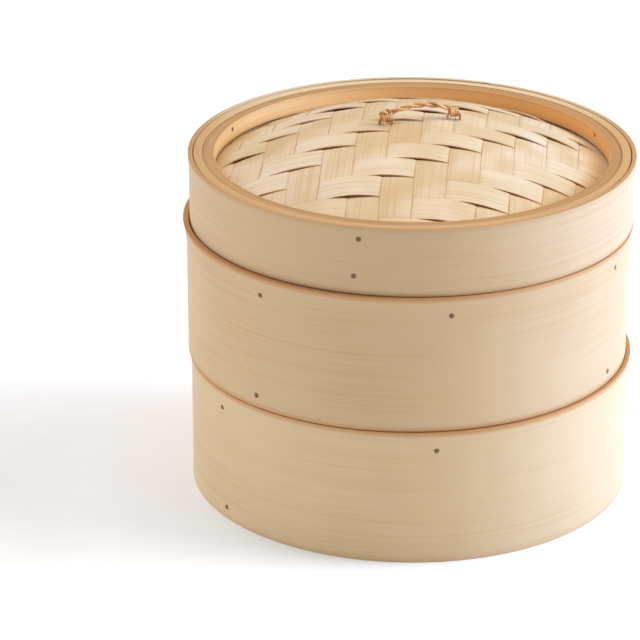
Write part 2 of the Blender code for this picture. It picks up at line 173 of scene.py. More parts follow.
class Finish(Graph):
    """A material under construction, with its Principled shader."""

    def __init__(self, name):
        self.material = bpy.data.materials.new(name)
        self.material.use_nodes = True
        super().__init__(self.material.node_tree)
        self.shader = self.tree.nodes["Principled BSDF"]

    def place(self):
        """Object coordinates, in metres."""
        return self.make("ShaderNodeTexCoord", {}, {}, "Object")

    def stretched(self, scale, turn=0.0):
        """Object coordinates turned about +Z and stretched, to draw grain along a direction."""
        turned = self.make(
            "ShaderNodeMapping",
            {"vector_type": "POINT"},
            {"Vector": self.place(), "Rotation": (0.0, 0.0, turn)},
        )
        return self.vector("MULTIPLY", turned, scale)

    def reach(self):
        """Distance from the upright axis through the origin."""
        flat = self.vector("MULTIPLY", self.place(), (1.0, 1.0, 0.0))
        return self.make("ShaderNodeVectorMath", {"operation": "LENGTH"}, {0: flat}, "Value")

    def noise(self, vector, detail=3.0):
        """Smooth noise, about 0.5 on average."""
        return self.make(
            "ShaderNodeTexNoise",
            {"noise_dimensions": "3D"},
            {"Vector": vector, "Scale": 1.0, "Detail": detail, "Roughness": NOISE_ROUGHNESS},
        )

    def attribute(self, name):
        """A number stored on the piece's own vertices."""
        return self.make(
            "ShaderNodeAttribute",
            {"attribute_type": "GEOMETRY", "attribute_name": name},
            {},
            "Fac",
        )

    def mix(self, share, first, second):
        """Mix two colours."""
        return self.make(
            "ShaderNodeMix",
            {"data_type": "RGBA", "blend_type": "MIX", "clamp_factor": True},
            {0: share, 6: first, 7: second},
            2,
        )

    def ramp(self, value, stops):
        """A colour ramp."""
        return self.make("ShaderNodeValToRGB", {"stops": stops}, {"Fac": value}, "Color")

    def between(self, value, low, high):
        """0 below low, 1 above high, smooth in between."""
        return self.make(
            "ShaderNodeMapRange",
            {"interpolation_type": "SMOOTHSTEP"},
            {"Value": value, "From Min": low, "From Max": high},
        )

    def bump(self, height, distance):
        """A bump from a height from 0 to 1, distance metres deep."""
        return self.make(
            "ShaderNodeBump", {}, {"Height": height, "Distance": distance, "Strength": 1.0}
        )

    def wear(self, colour, roughness, normal, gloss=0.5):
        """Set how glossy the surface is and feed the three things that vary over it."""
        self.shader.inputs["Specular IOR Level"].default_value = gloss
        self.feed(self.shader.inputs["Base Color"], colour)
        self.feed(self.shader.inputs["Roughness"], roughness)
        self.feed(self.shader.inputs["Normal"], normal)
        return self.material


def srgb(red, green, blue):
    """A colour as painters write it, from 0 to 255, in the linear numbers of a shader."""
    shares = [value / 255.0 for value in (red, green, blue)]
    return tuple(s / 12.92 if s <= 0.04045 else ((s + 0.055) / 1.055) ** 2.4 for s in shares)


print("cream bamboo is", [round(value, 3) for value in srgb(236, 212, 178)], "in linear numbers")

# %% [markdown]
# ## The finish of bands, hoops and slats
#
# A band is a shaved strip of bamboo wall, planed smooth. Its fibres run round the basket, so the
# noise is stretched: slow in X and Y, and quick in Z. On the flat top of a rim Z doesn't change, so
# the distance from the axis is added to it, and the grain shows there as fine rings. Three layers
# do the work: broad streaks a few millimetres high, fine fibres under a millimetre, and slow
# patches where the strip took more or less colour. Each piece stores as `edge` how near a face is
# to a cut edge, and there it takes a darker colour: partly the edge grain and grime of the cut
# edges, partly painted shade along the seams where one piece sits on the next. One side of a hoop
# can be painted darker, as painted shade on the side turned from the key lamps, and the far side of
# a rim painted paler, as a painted highlight.

# %% Bamboo finishes
BAND_GRAIN = ((620.0, 5.0), (2300.0, 9.0))
BAND_PATCHES = 13.0
BAND_BUMP = 0.05 * MM
BAND_GLOSS = 0.35


def long_grain(finish, layers, patch_scale, axis, turn=0.0):
    """Noises for each (quick, slow) layer, quick along the named axis, and slow patches."""
    noises = []
    for quick, slow in layers:
        scale = {"X": (quick, slow, slow), "Y": (slow, quick, slow), "Z": (slow, slow, quick)}
        vector = finish.stretched(scale[axis], turn)
        if axis == "Z":
            rings = finish.make("ShaderNodeCombineXYZ", {}, {"Z": finish.reach() * quick})
            vector = finish.vector("ADD", vector, rings)
        noises.append(finish.noise(vector))
    patches = finish.noise(finish.stretched((patch_scale,) * 3, turn), 2.0)
    return (*noises, patches)


def part_of_place(finish, axis):
    """One of the object coordinates."""
    return finish.make("ShaderNodeSeparateXYZ", {}, {0: finish.place()}, axis)


def bamboo(name, pale, deep, edge_colour, axis="Z", shaded_side=None, far_highlight=None):
    """Planed bamboo between two colours, darker near its edges with a third."""
    finish = Finish(name)
    streaks, fibres, patches = long_grain(finish, BAND_GRAIN, BAND_PATCHES, axis)
    tone = streaks * 0.25 + fibres * 0.4 + patches * 0.35
    body = finish.ramp(tone, [(0.38, deep), (0.52, pale), (0.66, pale), (0.78, deep)])
    dark_fibre = finish.between(fibres, 0.57, 0.75) * 0.4
    lined = finish.mix(dark_fibre, body, deep)
    # Painted shade: the side towards +X, whose inner wall is turned from the key lamps, turns
    # deeper.
    if shaded_side:
        shaded_side_mask = finish.between(part_of_place(finish, "X") + patches * 0.06, -0.04, 0.12)
        lined = finish.mix(shaded_side_mask * 0.8, lined, shaded_side)
    mark = edge_colour
    # Painted highlight: towards the far side, +Y, the edge colour turns paler.
    if far_highlight:
        far_highlight_mask = finish.between(part_of_place(finish, "Y") + patches * 0.03, 0.03, 0.10)
        mark = finish.mix(far_highlight_mask, edge_colour, far_highlight)
    # Near the edges: edge grain and grime, and on the bands also painted shade along the seams.
    edge = finish.attribute("edge")
    uneven = 0.15 + patches * 0.4 + streaks * 0.5 + fibres * 0.6
    grime_and_seam_shade = finish.mix(edge * uneven, lined, mark)
    roughness = 0.42 + fibres * 0.2 + edge * 0.2
    normal = finish.bump(streaks * 0.2 + fibres * 0.8, BAND_BUMP)
    return finish.wear(grime_and_seam_shade, roughness, normal, BAND_GLOSS)


# The lower band is painted a little paler than the upper band and the lid's band: painted light,
# for the light that the floor throws up onto the lower tier.
band_finishes = {
    "lower": bamboo(
        "lower_band_grain", srgb(213, 183, 142), srgb(204, 170, 127), srgb(192, 136, 82)
    ),
    "upper": bamboo(
        "upper_band_grain", srgb(206, 174, 133), srgb(198, 162, 118), srgb(190, 134, 80)
    ),
    # The lid's band has a paler far edge: a painted highlight.
    "lid": bamboo(
        "lid_band_grain",
        srgb(205, 172, 132),
        srgb(196, 160, 117),
        srgb(176, 132, 86),
        far_highlight=srgb(206, 183, 148),
    ),
}
# The hoops have a paler far edge: a painted highlight.
hoop_bamboo = bamboo(
    "hoop_bamboo_grain",
    srgb(206, 174, 128),
    srgb(190, 152, 106),
    srgb(186, 148, 102),
    far_highlight=srgb(206, 183, 148),
)
# Its right side is painted deeper orange, as painted shade.
golden_bamboo = bamboo(
    "golden_bamboo_grain",
    srgb(234, 196, 142),
    srgb(222, 176, 114),
    srgb(166, 126, 82),
    shaded_side=srgb(226, 158, 82),
)
print("finishes", sorted(band_finishes), hoop_bamboo.name, golden_bamboo.name)

# %% [markdown]
# ## Keeping a piece
#
# Every piece ends the same way: the mesh becomes an object at the origin, gets its finish, rides
# on a body of the part, and hides the plain solid that it stands for. Normals are made to point
# outwards, and sharp edges stay sharp while the round faces are shaded smooth. Two operators come
# back in nearly every piece, a spin about the upright axis and a small round on corners or edges,
# so they get short names here.

# %% Helpers that finish a piece
SMOOTH_ANGLE = math.radians(38.0)


def spin_up(bm, geom, steps, angle=2.0 * math.pi, closed=True):
    """Spin geometry about the upright axis through the origin."""
    bmesh.ops.spin(
        bm,
        geom=geom,
        axis=(0.0, 0.0, 1.0),
        cent=(0.0, 0.0, 0.0),
        angle=angle,
        steps=steps,
        use_merge=closed,
    )


def ease(bm, geom, amount, affect):
    """Round corners (VERTICES) or arrises (EDGES)."""
    bmesh.ops.bevel(
        bm,
        geom=geom,
        offset=amount,
        offset_type="OFFSET",
        affect=affect,
        segments=3,
        profile=0.5,
        material=-1,
    )


def turn_up(bm, angle):
    """Turn a bmesh about the upright axis through the origin."""
    matrix = Matrix.Rotation(angle, 3, "Z")
    bmesh.ops.rotate(bm, verts=bm.verts, cent=(0.0, 0.0, 0.0), matrix=matrix)


def move(bm, centre):
    """Carry a bmesh sideways to a ring's centre."""
    bmesh.ops.translate(bm, verts=bm.verts, vec=(centre.x, centre.y, 0.0))
    return bm


def keep(name, bm, finish, body, nodes, turn_outwards=True):
    """Turn a bmesh into a finished piece that rides on a body and replaces nodes."""
    if turn_outwards:
        bmesh.ops.recalc_face_normals(bm, faces=bm.faces)
    mesh = bpy.data.meshes.new(name)
    bm.to_mesh(mesh)
    bm.free()
    return keep_mesh(name, mesh, finish, body, nodes)


def keep_mesh(name, mesh, finish, body, nodes):
    """The same for a finished mesh."""
    mesh.materials.clear()
    mesh.materials.append(finish)
    mesh.shade_smooth()
    mesh.set_sharp_from_angle(angle=SMOOTH_ANGLE)
    piece = bpy.data.objects.new(name, mesh)
    bpy.context.scene.collection.objects.link(piece)
    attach(piece, body)
    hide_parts(*nodes)
    return piece


# %% [markdown]
# ## Bending a strip round
# An outer band is one strip, its two ends skived thin and lapped over each other. A spin makes it:
# the strip's section is a small face, bevelled at its corners, and the spin carries it once round
# and a little further. Where the strip lies on itself each station's wall is pared down, so the
# two tongues fill one wall between them. The rim leans out a little, as the real rims do, and no
# strip is perfectly round or level, so a slow wave is added. The levels of a tall section crowd
# towards its ends, where the rim leans out and where the darkening of the edges fades away. That
# darkening is edge grain and grime, and along the seams between the pieces also painted shade.

# %% Bent strips
GAP = 0.3 * MM
BAND_WALL = 1.8 * MM
BAND_EASE = 0.25 * MM
FLARE_HEIGHT = 11.0 * MM
FLARE_CURVE = 1.5
TURN_STEPS = 192
LAP_STEPS = 20
SKIVED_TIP = 0.35 * MM
SECTION_LEVELS = 14
TALL_SECTION = 25.0 * MM
EDGE_DARK_HEIGHT = 1.8 * MM
EDGE_DARK_STRENGTH = 1.5
WAVE_OUT = 0.12 * MM
WAVE_UP = 0.10 * MM
TINY = 1e-6


def square_ring(inner, outer, low, high):
    """A plain rectangular section, as (radius, level) points."""
    return [(inner, low), (outer, low), (outer, high), (inner, high)]


def section_face(bm, inner, outer, low, high, corner_ease):
    """An upright section in the XZ plane with eased corners and a few extra levels."""
    corners = square_ring(inner, outer, low, high)
    face = bm.faces.new([bm.verts.new((x, 0.0, z)) for x, z in corners])
    upright = [e for e in face.edges if abs(e.verts[0].co.x - e.verts[1].co.x) < TINY]
    bmesh.ops.subdivide_edges(bm, edges=upright, cuts=SECTION_LEVELS)
    if high - low > TALL_SECTION:
        for vert in bm.verts:
            share = (vert.co.z - low) / (high - low)
            vert.co.z = low + (high - low) * (0.5 - 0.5 * math.cos(math.pi * share))
    corner_verts = [v for v in bm.verts if min(v.co.z - low, high - v.co.z) < TINY]
    ease(bm, corner_verts, corner_ease, "VERTICES")
    return bm.faces[:]


def wobble(turn, seed):
    """A slow, closed wave round a hoop, from about -1 to 1."""
    return 0.6 * math.sin(2.0 * turn + seed) + 0.4 * math.sin(5.0 * turn + 2.3 * seed)


def bent_strip(inner, wall, low, high, lap_turn, flare, seed, corner_ease, end_darkness):
    """A strip bent once round, its skived ends lapped, its rim leaning out by flare.

    The last argument says how dark its faces are at the low and the high end.
    """
    bm = bmesh.new()
    faces = section_face(bm, inner, inner + wall, low, high, corner_ease)
    per_section = len(bm.verts)
    steps = TURN_STEPS + LAP_STEPS
    angle = 2.0 * math.pi * steps / TURN_STEPS
    spin_up(bm, faces + bm.edges[:] + bm.verts[:], steps, angle, closed=False)
    edge = bm.verts.layers.float.new("edge")
    slope = (wall - GAP - 2.0 * SKIVED_TIP) / LAP_STEPS
    bm.verts.index_update()
    for index, vert in enumerate(bm.verts):
        station = index // per_section
        near, far = 0.0, wall
        if station <= LAP_STEPS:
            far = SKIVED_TIP + slope * station
        if station >= TURN_STEPS:
            near = SKIVED_TIP + GAP + slope * (station - TURN_STEPS)
        radius = vert.co.xy.length
        share = (radius - inner) / wall
        turn = math.atan2(vert.co.y, vert.co.x) + math.radians(lap_turn)
        rise = max(0.0, vert.co.z - (high - FLARE_HEIGHT)) / FLARE_HEIGHT
        lean = flare * rise**FLARE_CURVE * (0.4 + 0.6 * share)
        lean += WAVE_OUT * wobble(turn, seed) * min(1.0, rise + 0.3)
        target = inner + near + share * (far - near) + lean
        vert.co.xy = vert.co.xy * (target / radius)
        from_end = min(vert.co.z - low, high - vert.co.z)
        on_face = share < 0.02 or share > 0.98
        end_dark = end_darkness[0] if vert.co.z - low < high - vert.co.z else end_darkness[1]
        faded = min(1.0, max(0.0, EDGE_DARK_STRENGTH * (1.0 - from_end / EDGE_DARK_HEIGHT)))
        vert[edge] = end_dark * faded if on_face else 1.0
        vert.co.z += WAVE_UP * wobble(turn, seed + 1.0) * (vert.co.z - low) / (high - low)
    turn_up(bm, math.radians(lap_turn))
    return bm


# Name, body, angle of the lap, flare, seed of the wave, darkness at the low and the high end.
# The darkness is edge grain and grime, and at the seams between the pieces also painted shade.
BANDS = (
    ("lower", "lower_tier", 100.0, 0.8 * MM, 1.0, (0.3, 1.0)),
    ("upper", "upper_tier", 55.0, 1.6 * MM, 2.0, (0.8, 1.0)),
    ("lid", "lid", 70.0, 0.5 * MM, 3.0, (0.8, 0.35)),
)
for word, body, lap_turn, flare, seed, end_darkness in BANDS:
    node = word + "_outer_band"
    centre, _, hoop_outer, _, _ = lid_hoop if word == "lid" else tiers[word]
    low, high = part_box(node)[0].z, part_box(node)[1].z
    inner = hoop_outer + GAP
    strip = bent_strip(inner, BAND_WALL, low, high, lap_turn, flare, seed, BAND_EASE, end_darkness)
    band = keep(word + "_band", move(strip, centre), band_finishes[word], body, [node])
    print(band.name, len(band.data.vertices), "points")

# %% [markdown]
# ## Hoops and rings inside
#
# Behind each band sit thicker hoops: one that the slats are clamped under and that stands proud of
# the rim, so that the next piece seats over it, and a ring under the floor. They are turned from an
# eased section. The two hoops seen from above in the lid are bent strips like the bands, so their
# ends are lapped too.

# %% Turned hoops
HOOP_EASE = 0.35 * MM
HOOP_STAIN_HEIGHT = 0.6 * MM
HOOP_WAVE = 0.08 * MM


def turned_section(points, seed):
    """Spin a closed outline of (radius, level) points once round, with its corners eased."""
    bm = bmesh.new()
    face = bm.faces.new([bm.verts.new((x, 0.0, z)) for x, z in points])
    ease(bm, face.verts[:], HOOP_EASE, "VERTICES")
    outline = bm.edges[:] + bm.verts[:]
    bmesh.ops.delete(bm, geom=bm.faces[:], context="FACES_ONLY")
    low = min(z for _, z in points)
    high = max(z for _, z in points)
    spin_up(bm, outline, TURN_STEPS)
    edge = bm.verts.layers.float.new("edge")
    for vert in bm.verts:
        from_end = min(vert.co.z - low, high - vert.co.z)
        vert[edge] = max(0.0, 1.0 - from_end / HOOP_STAIN_HEIGHT)
        vert.co.z += HOOP_WAVE * wobble(math.atan2(vert.co.y, vert.co.x), seed)
    return bm


SPIGOT_STEP = 1.6 * MM
SHOULDER_DROP = 1.0 * MM
for number, word in enumerate(("lower", "upper")):
    centre, inner, outer, low, high = tiers[word]
    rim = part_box(word + "_outer_band")[1].z
    spigot = outer - SPIGOT_STEP
    shoulder = rim - SHOULDER_DROP
    outline = [(inner, low), (outer, low), (outer, shoulder), (spigot, shoulder)]
    outline += [(spigot, high), (inner, high)]
    hoop = turned_section(outline, 4.0 + number)
    keep(word + "_hoop", move(hoop, centre), hoop_bamboo, word + "_tier", [word + "_inner_hoop"])
    centre, inner, outer, low, high = ring_of(word + "_floor_ring")
    ring = turned_section(square_ring(inner, outer, low, high), 6.0 + number)
    for rail in ("front", "back"):
        rail_low, rail_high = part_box(f"{word}_rail_{rail}")
        for sign in (-1.0, 1.0):
            bite = [v for v in ring.verts if v.co.x * sign > 0.0]
            bite = [v for v in bite if rail_low.y - GAP < v.co.y < rail_high.y + GAP]
            for vert in bite:
                vert.co.z = min(vert.co.z, rail_low.z - GAP)
    keep(word + "_ring", move(ring, centre), hoop_bamboo, word + "_tier", [word + "_floor_ring"])
    print(word, "hoop and ring")

LID_HOOP_EASE = 0.2 * MM
LID_HOOP_STAINS = (0.3, 0.3)
# Piece, node, angle of the lap, seed of the wave, finish.
LID_HOOPS = (
    ("lid_outer_hoop", "lid_middle_hoop", -60.0, 8.0, hoop_bamboo),
    ("lid_inner_hoop", "lid_retaining_hoop", -152.0, 9.0, golden_bamboo),
)
for name, node, lap_turn, seed, finish in LID_HOOPS:
    centre, inner, outer, low, high = ring_of(node)
    strip = bent_strip(
        inner, outer - inner, low, high, lap_turn, 0.0, seed, LID_HOOP_EASE, LID_HOOP_STAINS
    )
    keep(name, move(strip, centre), finish, "lid", [node])
centre, inner, outer, low, high = ring_of("lid_support_ring")
support = turned_section(square_ring(inner, outer, low, high), 10.0)
keep("lid_lower_ring", move(support, centre), hoop_bamboo, "lid", ["lid_support_ring"])
print("three lid hoops")

# %% [markdown]
# ## The floors
#
# Split slats lie side by side on two rails, with room between for steam. Each is a long block with
# rounded arrises and ends cut to follow the hoop. Their fibres run along Y, those of the rails
# along X, so they get finishes of their own.

# %% Slats and rails
slat_bamboo = bamboo(
    "slat_bamboo_grain", srgb(222, 194, 152), srgb(202, 168, 122), srgb(178, 134, 86), axis="X"
)
rail_bamboo = bamboo(
    "rail_bamboo_grain", srgb(216, 184, 140), srgb(196, 156, 108), srgb(172, 126, 78), axis="Y"
)
SLAT_EASE = 0.7 * MM
SLAT_CROWN = 0.25 * MM
SLAT_END_STAIN = 1.5 * MM
ARRIS_ANGLE = math.radians(60.0)


def split_slat(low, high, centre, reach, along):
    """A slat or rail between two corners whose ends follow a circle about the centre."""
    bm = bmesh.new()
    bmesh.ops.create_grid(bm, x_segments=6, y_segments=24, size=0.5)
    across = 0 if along == 1 else 1
    width_low = low[across] - centre[across]
    width = high[across] - low[across]
    for vert in bm.verts:
        side = width_low + (vert.co.x + 0.5) * width
        run = 2.0 * vert.co.y * math.sqrt(reach**2 - side**2)
        level = high.z - SLAT_CROWN * (2.0 * vert.co.x) ** 2
        vert.co = (side, run, level) if along == 1 else (run, side, level)
    grown = bmesh.ops.extrude_face_region(bm, geom=bm.faces[:])
    for item in grown["geom"]:
        if isinstance(item, bmesh.types.BMVert):
            item.co.z = low.z
    bmesh.ops.recalc_face_normals(bm, faces=bm.faces)
    rim = [e for e in bm.edges if e.calc_face_angle(0.0) > ARRIS_ANGLE]
    ease(bm, rim, SLAT_EASE, "EDGES")
    edge = bm.verts.layers.float.new("edge")
    for vert in bm.verts:
        from_end = reach - vert.co.xy.length
        vert[edge] = max(0.0, min(1.0, 1.0 - from_end / SLAT_END_STAIN))
    return bm


# Family, axis that it runs along, finish.
FLOOR_FAMILIES = (("rail", 0, rail_bamboo), ("slat", 1, slat_bamboo))
for word in ("lower", "upper"):
    centre = tiers[word][0]
    reach = ring_of(word + "_floor_ring")[2] - GAP
    for family, along, finish in FLOOR_FAMILIES:
        for node in sorted(frame["nodes"]):
            if node.startswith(f"{word}_{family}_"):
                slat = split_slat(*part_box(node), centre, reach, along)
                name = node.replace(f"_{family}_", f"_floor_{family}_")
                keep(name, move(slat, centre), finish, word + "_tier", [node])
    print(word, "floor laid")

# %% [markdown]
# ## Pins
#
# Short bamboo pins, driven through drilled holes and cut off, hold bands to hoops. Their dark end
# grain is what shows. Each is a rod along a radial line with rounded rims.

# %% Pins
PIN_RADIUS = 1.15 * MM
PIN_EASE = 0.25 * MM
PIN_GRAIN = 2600.0
PIN_BUMP = 0.1 * MM


def pin_finish():
    """Dark end grain."""
    finish = Finish("pin_end_grain")
    grain = finish.noise(finish.stretched((PIN_GRAIN,) * 3), 4.0)
    colour = finish.ramp(grain, [(0.35, srgb(92, 62, 42)), (0.65, srgb(150, 110, 76))])
    return finish.wear(colour, 0.6 + grain * 0.3, finish.bump(grain, PIN_BUMP))


pin_wood = pin_finish()


def radial_pin(low, high, centre):
    """A rod with rounded rims on the radial line through the middle of a box.

    The box of a slanting rod reaches past its ends by its thickness, so that is taken off again.
    """
    middle = 0.5 * (low + high)
    out = Vector((middle.x - centre.x, middle.y - centre.y, 0.0)).normalized()
    corners = [Vector((x, y)) - centre for x in (low.x, high.x) for y in (low.y, high.y)]
    spans = [corner.dot(out.xy) for corner in corners]
    past_end = (high.z - low.z) * abs(out.x * out.y)
    start, end = min(spans) + past_end, max(spans) - past_end
    bm = bmesh.new()
    bmesh.ops.create_cone(
        bm,
        cap_ends=True,
        cap_tris=False,
        segments=24,
        radius1=PIN_RADIUS,
        radius2=PIN_RADIUS,
        depth=end - start,
    )
    rims = [e for e in bm.edges if abs(e.verts[0].co.z - e.verts[1].co.z) < TINY]
    ease(bm, rims, PIN_EASE, "EDGES")
    turn = out.to_track_quat("Z", "Y").to_matrix().to_4x4()
    place = Vector((centre.x, centre.y, middle.z)) + out * (0.5 * (start + end))
    bmesh.ops.transform(bm, matrix=Matrix.Translation(place) @ turn, verts=bm.verts)
    return bm


pin_nodes = sorted(node for node in frame["nodes"] if "_pin_" in node)
for node in pin_nodes:
    word = node.split("_")[0]
    centre = lid_hoop[0] if word == "lid" else tiers[word][0]
    body = "lid" if word == "lid" else word + "_tier"
    keep(node + "_head", radial_pin(*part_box(node), centre), pin_wood, body, [node])
print(len(pin_nodes), "pins")

# %% [markdown]
# ## Weaving the lid
#
# The lid's skin is a 2/2 twill: every strip runs over two and under two, and each row starts one
# strip further on, which gives the diagonal steps. The strips are stiff, so where one runs over
# two others it arches, and the edge nearest the front lifts and shows a dark slit below it.
# Each strip is a grid laid on the dome. Its height above the dome comes from where it is in its
# run over or under, and `covered` remembers how far it has gone below its neighbours. The two
# families are called up, for the strips that run away from the front, and cross. Each has a pitch,
# a place where its first strip starts, and a height that its runs over arch by.

# %% Weave measures
random.seed(7)
WEAVE_TURN = math.radians(-4.0)
PITCH = {"up": 13.9 * MM, "cross": 12.9 * MM}
START = {"up": 4.9 * MM, "cross": -38.4 * MM}
ARCH = {"up": 0.35 * MM, "cross": 0.95 * MM}
OTHER = {"up": "cross", "cross": "up"}
RUN_SHIFT = {"up": 2, "cross": 1}
STRIP_THICKNESS = 0.6 * MM
LAYER = 0.32 * MM
TURN_SHARE = 0.09
HELD_RADIUS = 2.0 * MM
HELD_FADE = 9.0 * MM

dome_low, dome_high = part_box("lid_woven_top")
dome_edge = ring_of("lid_retaining_hoop")[1]
clamp_radius = ring_of("lid_woven_top")[2]
clamp_level = dome_low.z + 2.0 * STRIP_THICKNESS
dome_rise = dome_high.z - clamp_level
handle_feet = []
for side in ("left", "right"):
    foot = 0.5 * sum(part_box("handle_tie_" + side), Vector()).xy - lid_hoop[0]
    handle_feet.append(Matrix.Rotation(-WEAVE_TURN, 2) @ foot)
print("dome rises", round(dome_rise / MM, 1), "mm above its clamped edge")


def smooth(value):
    """0 to 1 with soft ends."""
    value = max(0.0, min(1.0, value))
    return value * value * (3.0 - 2.0 * value)


def dome_level(radius):
    """Height of the dome's middle layer."""
    share = min(1.0, radius / dome_edge)
    return clamp_level + dome_rise * (1.0 - share**2) - STRIP_THICKNESS


def held_down(x, y):
    """0 at a foot of the handle, where a tie pulls the strips flat, and 1 away from it."""
    nearest = min((Vector((x, y)) - foot).length for foot in handle_feet)
    return smooth((nearest - HELD_RADIUS) / HELD_FADE)


def from_run_centre(place, centre):
    """Distance from the middle of the nearest run over, in strips, from -2 to 2."""
    return (place - centre + 2.0) % 4.0 - 2.0


def run_height(distance, arch):
    """Height of a strip at a distance from the middle of its run over."""
    away = abs(distance)
    over = 1.0 - 2.0 * smooth((away - 1.0 + TURN_SHARE) / (2.0 * TURN_SHARE))
    lift = arch * math.cos(0.5 * math.pi * min(1.0, away)) ** 0.9
    return LAYER * over + lift


def covered(distance):
    """How far a strip has slipped below its neighbours."""
    return smooth((abs(distance) - 1.0) / 0.1)


# %% [markdown]
# One function lays a strip of either family. The strip starts as a flat grid; its length is the
# chord of the dome at its place, so its ends follow the round edge, where it lies clamped under
# the hoop. It cups a little across its width, and the front edge of a cross strip stands up. A
# Solidify modifier would thicken it, but bmesh can do that at once and keeps the numbers on the
# vertices. The undersides count as covered too, so that they take the same painted shade and the
# slits look brown inside.

# %% Laying strips
EDGE_ROOM = 0.3 * MM
SIDE_ROOM = 1.5 * MM
NARROWEST = 3.0 * MM
FRONT_LIFT = 0.3 * MM
CUP = 0.10 * MM
CLAMP_MARGIN = 1.0 * MM
CLAMP_FADE = 9.0 * MM
UNDERSIDE_SHADE = 0.85


def lay_strip(bm, layers, number, family, arches, tone, width):
    """Add one strip of a family to a bmesh; True if it is wide enough to be laid."""
    middle = START[family] + (number - 0.5) * PITCH[family]
    edge_limit = clamp_radius - EDGE_ROOM
    first = max(middle - 0.5 * width, SIDE_ROOM - edge_limit)
    last = min(middle + 0.5 * width, edge_limit - SIDE_ROOM)
    if last - first < NARROWEST:
        return False
    centre_run = number - RUN_SHIFT[family]
    grid = bmesh.ops.create_grid(bm, x_segments=8, y_segments=150, size=0.5)
    for vert in grid["verts"]:
        share = vert.co.x + 0.5
        across = first + (last - first) * share
        along = 2.0 * vert.co.y * math.sqrt(edge_limit**2 - across**2)
        step = (along - START[OTHER[family]]) / PITCH[OTHER[family]]
        distance = from_run_centre(step, centre_run)
        run = math.floor((step - centre_run + 2.0) / 4.0)
        arch = arches[run % len(arches)]
        flat_x, flat_y = (across, along) if family == "up" else (along, across)
        arch *= held_down(flat_x, flat_y)
        height = run_height(distance, arch)
        if family == "cross" and abs(distance) < 1.0:
            height += FRONT_LIFT * (1.0 - share) ** 2 * math.cos(0.5 * math.pi * distance)
        height -= CUP * (2.0 * share - 1.0) ** 2
        radius = math.hypot(flat_x, flat_y)
        loose = smooth((dome_edge - CLAMP_MARGIN - radius) / CLAMP_FADE)
        clamped = LAYER * (1.0 if abs(distance) < 1.0 else -1.0)
        height = height * loose + clamped * (1.0 - loose)
        vert.co = (flat_x, flat_y, dome_level(radius) + height)
        vert[layers["tone"]] = tone
        vert[layers["covered"]] = covered(distance)
        vert[layers["across"]] = share
    return True


def weave(family, numbers):
    """All strips of one family, thickened, their undersides marked for painted shade."""
    bm = bmesh.new()
    names = ("tone", "covered", "across")
    layers = {name: bm.verts.layers.float.new(name) for name in names}
    laid = 0
    for number in numbers:
        arches = [ARCH[family] * random.uniform(0.45, 1.25) for _ in range(5)]
        width = PITCH[family] * random.uniform(0.99, 0.998)
        laid += lay_strip(bm, layers, number, family, arches, random.random(), width)
    turn_up(bm, WEAVE_TURN)
    bmesh.ops.recalc_face_normals(bm, faces=bm.faces)
    bmesh.ops.solidify(bm, geom=bm.faces[:], thickness=STRIP_THICKNESS)
    bm.normal_update()
    # Painted shade: the undersides are marked as covered.
    for vert in bm.verts:
        if vert.normal.z < 0.0:
            vert[layers["covered"]] = max(vert[layers["covered"]], UNDERSIDE_SHADE)
    print(family, laid, "strips,", len(bm.faces), "faces")
    return move(bm, lid_hoop[0])


print("the narrowest strip is", round(NARROWEST / MM, 1), "mm wide")


# %% [markdown]
# The shavings are finer than the bands: pale and silky, with thin brown fibres, each strip of its
# own tone that drifts along its length. The sides of a strip are rubbed darker, and where it dips
# under its neighbours, and on its underside, it is painted warm brown as painted shade.

# %% The finish of the weave
WOVEN_GRAIN = ((1000.0, 7.0), (3800.0, 14.0))
WOVEN_PATCHES = 30.0
WOVEN_BUMP = 0.08 * MM
WOVEN_GLOSS = 0.4


def woven_finish(name, axis, pale, deep):
    """Shaved bamboo, its grain quick along the axis turned with the weave."""
    finish = Finish(name)
    streaks, fibres, patches = long_grain(finish, WOVEN_GRAIN, WOVEN_PATCHES, axis, -WEAVE_TURN)
    tone = finish.attribute("tone")
    mark = finish.attribute("covered")
    across = finish.attribute("across")
    drift = finish.between(patches, 0.36, 0.64)
    warm = finish.mix(tone * 0.45 + drift * 0.55, pale, deep)
    pink = finish.mix(finish.between(patches, 0.52, 0.34) * 0.4, warm, srgb(224, 204, 186))
    streaked = finish.mix(finish.between(streaks, 0.46, 0.68) * 0.5, pink, srgb(198, 164, 118))
    lined = finish.mix(finish.between(fibres, 0.5, 0.7) * 0.45, streaked, srgb(182, 146, 102))
    side = finish.make("ShaderNodeMath", {"operation": "ABSOLUTE"}, {0: across - 0.5})
    rubbed = finish.mix(finish.between(side, 0.475, 0.5) * 0.2, lined, srgb(184, 138, 88))
    # Painted shade: warm brown where the strip is covered by its neighbours and on its underside.
    under_shaded = finish.mix(mark * 0.9, rubbed, srgb(214, 134, 78))
    roughness = 0.4 + streaks * 0.2 + mark * 0.2
    normal = finish.bump(streaks * 0.5 + fibres * 0.5, WOVEN_BUMP)
    return finish.wear(under_shaded, roughness, normal, WOVEN_GLOSS)


# Family, numbers of its strips, quick axis of the grain, pale colour, deep colour.
WOVEN_FAMILIES = (
    ("up", range(-6, 9), "X", srgb(214, 193, 162), srgb(198, 168, 122)),
    ("cross", range(-3, 12), "Y", srgb(218, 200, 173), srgb(204, 180, 140)),
)
for family, numbers, axis, pale, deep in WOVEN_FAMILIES:
    finish = woven_finish(f"woven_{family}_grain", axis, pale, deep)
    strips = weave(family, numbers)
    keep("woven_strips_" + family, strips, finish, "lid", ["lid_woven_top"], turn_outwards=False)

# %% [markdown]
# ## The lining
#
# Under the woven skin lies a second, plainer sheet that keeps drips off the food. It is seen from
# below when the lid is lifted, and it closes the slits in the weave.

# %% Lining
LINING_THICKNESS = 1.0 * MM
LINING_STEPS = 30


